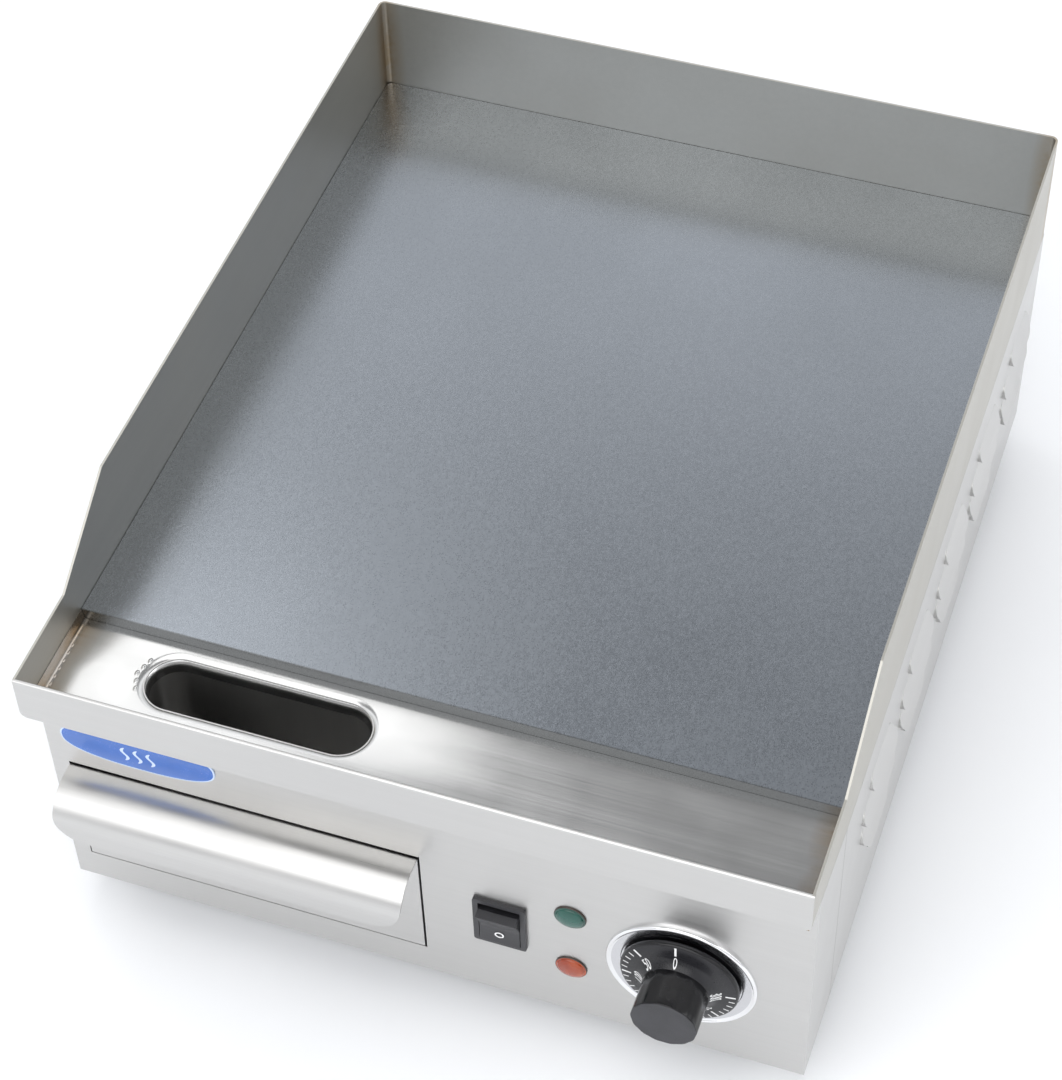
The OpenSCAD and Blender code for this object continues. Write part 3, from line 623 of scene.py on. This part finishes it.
def dial_point(radius, angle, lift):
    """Point on the dial's face; the angle runs clockwise from the top seen from the front."""
    return stat + Vector((radius * math.sin(angle), -cone_out(radius) - lift, radius * math.cos(angle)))


def dial_angle(degrees_c):
    """Angle of a temperature on the dial."""
    if degrees_c == 0:
        return math.radians(-4)
    return math.radians(-52 - 43.4 * (degrees_c - 50) / 50)


def tick(work, angle, inner, outer, width):
    corners = [(inner, -1), (inner, 1), (outer, 1), (outer, -1)]
    layers = []
    for lift in (-0.1 * MM, 0.12 * MM):
        row = []
        for radius, side in corners:
            across = Vector((math.cos(angle), 0, -math.sin(angle))) * side * width / 2
            row.append(work.verts.new(dial_point(radius, angle, lift) + across))
        layers.append(row)
    low, high = layers
    work.faces.new(low)
    work.faces.new(high)
    for i in range(4):
        j = (i + 1) % 4
        work.faces.new((low[i], low[j], high[j], high[i]))


DIGIT_WIDTH = 0.62


def number(work, text, angle, radius, height):
    """Adds raised digits that follow the dial's face, their tops pointing away from its axis."""
    curve = bpy.data.curves.new("digits", "FONT")
    curve.body = text
    curve.size = height
    curve.align_x = "CENTER"
    curve.align_y = "CENTER"
    curve.extrude = 0.1 * MM
    holder = bpy.data.objects.new("digits", curve)
    bpy.context.scene.collection.objects.link(holder)
    bpy.context.view_layer.update()
    flat = bpy.data.meshes.new_from_object(holder)
    bpy.data.objects.remove(holder)
    for vertex in flat.vertices:
        x, y, z = vertex.co
        away = radius + y
        vertex.co = dial_point(away, angle + DIGIT_WIDTH * x / away, z + 0.03 * MM)
    work.from_mesh(flat)
    bpy.data.meshes.remove(flat)


def dial_marks(work):
    tick(work, dial_angle(0), 23.7 * MM, 29.2 * MM, 1.1 * MM)
    for degrees_c in range(50, 301, 10):
        major = degrees_c % 50 == 0
        inner = 24.2 * MM if major else 26.2 * MM
        tick(work, dial_angle(degrees_c), inner, 29.2 * MM, 0.9 * MM if major else 0.5 * MM)
    for degrees_c in range(0, 301, 50):
        number(work, str(degrees_c), dial_angle(degrees_c), 19.6 * MM, 7.2 * MM)


piece("dial_marks", mesh_from("dial_marks", dial_marks), "knob", "knob_black", mark_white, smooth=20)

BEZEL_R = 39 * MM
bezel_profile = [
    (12 * MM, 0), (BEZEL_R, 0), (BEZEL_R, 1.0 * MM), (BEZEL_R - 0.25 * MM, 1.7 * MM),
    (BEZEL_R - 0.8 * MM, 2.2 * MM), (BEZEL_R - 1.4 * MM, 2.3 * MM), (BEZEL_R - 1.9 * MM, 2.0 * MM),
    (BEZEL_R - 2.3 * MM, 1.55 * MM), (BEZEL_R - 2.9 * MM, 1.4 * MM), (DIAL_R + 1.4 * MM, 1.35 * MM),
    (DIAL_R + 0.7 * MM, 1.1 * MM), (DIAL_R + 0.6 * MM, 0.8 * MM), (12 * MM, 0.8 * MM),
]
bezel_mesh = lathe("bezel", bezel_profile, stat, steps=128, closed=True)
bezel = piece("bezel_ring", bezel_mesh, "root", "bezel_chrome", chrome, satin_ring, smooth=50)
for face in bezel.data.polygons:
    away = Vector((face.center.x - stat.x, face.center.z - stat.z)).length
    face.material_index = 1 if away < BEZEL_R - 2.9 * MM else 0
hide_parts("thermostat_bezel")


# ---- rocker switch --------------------------------------------------------

def rocker_cap():
    """V-shaped rocker with slightly hollow halves, its lower half pressed in."""
    low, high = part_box("switch_rocker")
    width = 21.4 * MM
    middle_x = (low.x + high.x) / 2
    pivot_z = 84 * MM
    pivot = Vector((middle_x, panel_y + 2.5 * MM, pivot_z))
    tilt = math.radians(11)
    half = 13 * MM
    steps = 10
    front = []
    for i in range(steps + 1):
        t = -1 + 2 * i / steps
        hollow = 0.35 * MM * math.sin(math.pi * abs(t))
        front.append((-4.8 * MM - 3.2 * MM * abs(t) + hollow, -t * half))
    back = [(-3 * MM, -half), (3 * MM, -9 * MM), (3 * MM, 9 * MM), (-3 * MM, half)]
    outline = []
    for y, z in front + back:
        outline.append((pivot.y + y * math.cos(tilt) - z * math.sin(tilt),
                        pivot.z + y * math.sin(tilt) + z * math.cos(tilt)))
    return prism("rocker_cap", outline, middle_x - width / 2, middle_x + width / 2, along_x), pivot, tilt


rocker_mesh, pivot, tilt = rocker_cap()
cap = piece("rocker_cap", rocker_mesh, "rocker", "switch_black", black_satin, smooth=25, bevel=0.0004)
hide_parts("switch_rocker")


def off_mark():
    """Raised ring on the rocker's lower half."""
    outer = 2.5 * MM
    inner = 1.7 * MM
    squash = 0.8
    slope = math.atan2(3.2, 13)
    centre = Vector((0, -6.25 * MM, -6.2 * MM))
    stand = (Matrix.Translation(pivot) @ Matrix.Rotation(tilt, 4, "X")
             @ Matrix.Translation(centre) @ Matrix.Rotation(-slope, 4, "X"))

    def build(work):
        rings = []
        for radius, out in ((outer, 0), (outer, 0.25 * MM), (inner, 0.25 * MM), (inner, 0)):
            turn = [2 * math.pi * i / 40 for i in range(40)]
            points = [Vector((radius * math.sin(t), -out, squash * radius * math.cos(t))) for t in turn]
            rings.append([work.verts.new(stand @ point) for point in points])
        for a, b in zip(rings, rings[1:] + rings[:1]):
            for i in range(40):
                j = (i + 1) % 40
                work.faces.new((a[i], a[j], b[j], b[i]))
    return mesh_from("off_mark", build)


piece("rocker_off_mark", off_mark(), "rocker", "switch_black", mark_white)


# ---- lamps ----------------------------------------------------------------

for node, material, slot in (("green_lamp_lens", green_glass, "green_lens"),
                             ("orange_lamp_lens", orange_glass, "orange_lens")):
    low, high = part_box(node)
    radius = (high.x - low.x) / 2
    centre = Vector(((low.x + high.x) / 2, panel_y, (low.z + high.z) / 2))
    profile = [(0, 0), (radius, 0), (radius, 0.6 * MM)]
    profile += [(radius - 0.3 * MM, 0.95 * MM), (radius - 1.0 * MM, 1.1 * MM)]
    profile += [((radius - 1.1 * MM) * math.cos(t), 1.1 * MM + 1.9 * MM * math.sin(t))
                for t in [math.pi / 2 * i / 8 for i in range(8)]]
    profile += [(0, 3.0 * MM)]
    dome = piece(node.replace("lens", "dome"), lathe(node, profile, centre, steps=64), "root", slot, material,
                 lamp_edge)
    for face in dome.data.polygons:
        away = Vector((face.center.x - centre.x, face.center.z - centre.z)).length
        face.material_index = 1 if away > radius - 0.35 * MM else 0
    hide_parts(node)


# ---- badge ----------------------------------------------------------------

def oval(name, half_l, half_h, low, high, centre):
    """Full oval plate: an ellipse with slightly squared shoulders."""
    def bulge(value):
        return math.copysign(abs(value) ** 0.82, value)

    turn = [2 * math.pi * i / 96 for i in range(96)]
    outline = [(half_l * bulge(math.cos(t)), half_h * bulge(math.sin(t))) for t in turn]
    return prism(name, outline, low, high, lambda u, v, w: (centre.x + u, w, centre.z + v))


badge_low, badge_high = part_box("badge")
badge_mid = (badge_low + badge_high) / 2
badge_l = (badge_high.x - badge_low.x) / 2
badge_h = (badge_high.z - badge_low.z) / 2
rim = piece("badge_rim", oval("rim", badge_l, badge_h, panel_y, panel_y - 0.7 * MM, badge_mid), "root",
            "badge_blue", badge_light, bevel=0.0002)
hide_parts("badge")
piece("badge_face", oval("face", badge_l - 0.9 * MM, badge_h - 0.9 * MM, panel_y - 0.3 * MM,
                         panel_y - 0.78 * MM, badge_mid), "root", "badge_blue", badge_blue)


def heat_waves(work):
    """Three upright wavy strokes, a generic sign for heat."""
    steps = 24
    for k in (-1, 0, 1):
        sides = []
        for i in range(steps + 1):
            t = i / steps
            z = badge_mid.z - 2.8 * MM + (t - 0.5) * 10 * MM
            x = badge_mid.x + k * 7 * MM + 1.5 * MM * math.sin(2 * math.pi * t)
            half = 0.9 * MM * math.sqrt(max(0.05, 1 - (2 * t - 1) ** 6))
            sides.append([work.verts.new((x + s * half, panel_y - out, z))
                          for s, out in ((-1, 0.7 * MM), (-1, 0.80 * MM), (1, 0.80 * MM), (1, 0.7 * MM))])
        for a, b in zip(sides, sides[1:]):
            for i in range(4):
                j = (i + 1) % 4
                work.faces.new((a[i], a[j], b[j], b[i]))
        work.faces.new(sides[0])
        work.faces.new(sides[-1])


piece("badge_heat_waves", mesh_from("badge_heat_waves", heat_waves), "root", "badge_blue", badge_light)


# ---- stage, light and camera ----------------------------------------------

def floor_material():
    made = Surface("studio_floor", roughness=0.6)
    soft = made.noise([3, 3, 3], detail=2)
    made.link(made.mix(made.spread(soft, 0.3, 0.7), (0.90, 0.91, 0.93), (0.93, 0.94, 0.955)), "Base Color")
    return made.mat


bpy.ops.mesh.primitive_plane_add(size=14, location=(0, 0, 0))
ground = bpy.context.object
ground.name = "studio_floor"
ground.data.materials.append(floor_material())


def area_light(name, place, target, size, power, color=(1, 1, 1)):
    data = bpy.data.lights.new(name, "AREA")
    data.shape = "RECTANGLE"
    data.size, data.size_y = size
    data.energy = power
    data.color = color
    made = bpy.data.objects.new(name, data)
    made.location = place
    made.rotation_euler = (Vector(target) - Vector(place)).to_track_quat("-Z", "Y").to_euler()
    bpy.context.scene.collection.objects.link(made)


area_light("front", (-0.3, -2.6, 2.4), (0, 0, 0.1), (3.6, 3.0), 50)
area_light("overhead", (-0.2, -0.4, 3.0), (-0.2, -0.4, 0.1), (2.2, 2.2), 27)
area_light("back_left", (-0.776, 0.684, 1.707), (-0.12, -0.22, 0.17), (0.5, 0.45), 1.3)
area_light("right", (2.4, 0.3, 1.1), (0.3, 0, 0.05), (1.5, 1.5), 9)


def sky():
    """Studio surround that is bright near the horizon and darker overhead."""
    world = bpy.data.worlds.new("studio")
    world.use_nodes = True
    tree = world.node_tree
    place = tree.nodes.new("ShaderNodeTexCoord")
    split = tree.nodes.new("ShaderNodeSeparateXYZ")
    level = tree.nodes.new("ShaderNodeValToRGB")
    ramp = level.color_ramp.elements
    ramp[0].position = 0.05
    ramp[0].color = (0.78, 0.79, 0.81, 1)
    ramp[1].position = 1.0
    ramp[1].color = (0.28, 0.285, 0.29, 1)
    for height, value in ((0.45, 1.0), (0.60, 1.5), (0.69, 1.75), (0.735, 0.5), (0.80, 0.34)):
        ramp.new(height).color = (0.97 * value, 0.98 * value, value, 1)
    background = tree.nodes["Background"]
    tree.links.new(place.outputs["Generated"], split.inputs[0])
    tree.links.new(split.outputs["Z"], level.inputs["Fac"])
    tree.links.new(level.outputs["Color"], background.inputs["Color"])
    return world


bpy.context.scene.world = sky()
bpy.context.scene.view_settings.view_transform = "Standard"

RIGHT = Vector((0.94565, 0.32460, -0.01974))
DOWN = Vector((0.23310, -0.71893, -0.65483))
FORWARD = Vector((-0.22675, 0.61464, -0.75552))
camera_data = bpy.data.cameras.new("camera")
camera_data.sensor_width = 36
camera_data.lens = 93.14
camera_data.shift_x = -0.0127
camera_data.shift_y = 0.0076
camera_data.clip_start = 0.05
camera = bpy.data.objects.new("camera", camera_data)
camera.matrix_world = (Matrix.Translation((0.33339, -0.94789, 1.25786))
                       @ Matrix((RIGHT, -DOWN, -FORWARD)).transposed().to_4x4())
bpy.context.scene.collection.objects.link(camera)
bpy.context.scene.camera = camera
